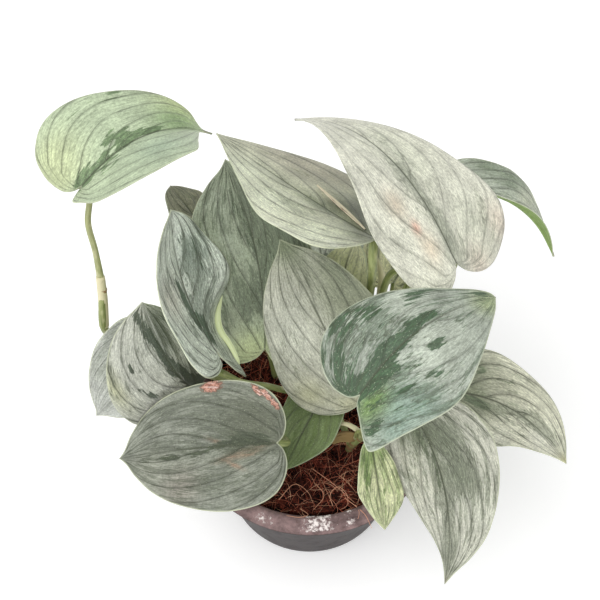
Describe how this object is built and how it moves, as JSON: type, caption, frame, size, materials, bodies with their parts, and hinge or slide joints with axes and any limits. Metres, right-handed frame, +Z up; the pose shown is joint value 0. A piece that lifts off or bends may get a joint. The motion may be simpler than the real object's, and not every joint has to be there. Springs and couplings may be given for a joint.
{
  "type": "potted satin pothos",
  "caption": "Satin pothos with silvery heart-shaped leaves on slim stalks, growing in coir in a small round plastic nursery pot.",
  "frame": {"origin": "middle of the pot's base, on the surface that it stands on", "axes": "+Z up; +X to the right and +Y away from the plant's open side, where the soil shows"},
  "size_m": [0.188, 0.1475, 0.1812],
  "materials": {
    "pot_plastic": "dusty black moulded plastic with pale mineral marks on the lip",
    "coir": "loose dark red-brown coconut fibre",
    "stem": "smooth yellow-green stem with pale sheaths",
    "blade": "satin silver-green leaf with dark veins and a thin pale margin"
  },
  "bodies": {
    "root": {"pot": "pot_plastic", "coir": "coir", "vine_left": "stem", "vine_back": "stem", "vine_centre": "stem", "vine_right": "stem", "vine_front": "stem", "vine_front_left": "stem", "leaf_top_left": "blade", "leaf_upper_middle": "blade", "leaf_upper_right": "blade", "leaf_far_right": "blade", "leaf_centre_right": "blade", "leaf_centre": "blade", "leaf_back_centre": "blade", "leaf_left": "blade", "leaf_far_left": "blade", "leaf_mid_left": "blade", "leaf_lower_left": "blade", "leaf_front_small": "blade", "leaf_front_low": "blade", "leaf_lower_right": "blade", "leaf_right": "blade", "leaf_back_left": "blade", "leaf_inner": "blade", "leaf_rear_middle": "blade", "leaf_rear_right": "blade", "leaf_rear_left": "blade"}
  },
  "joints": []
}
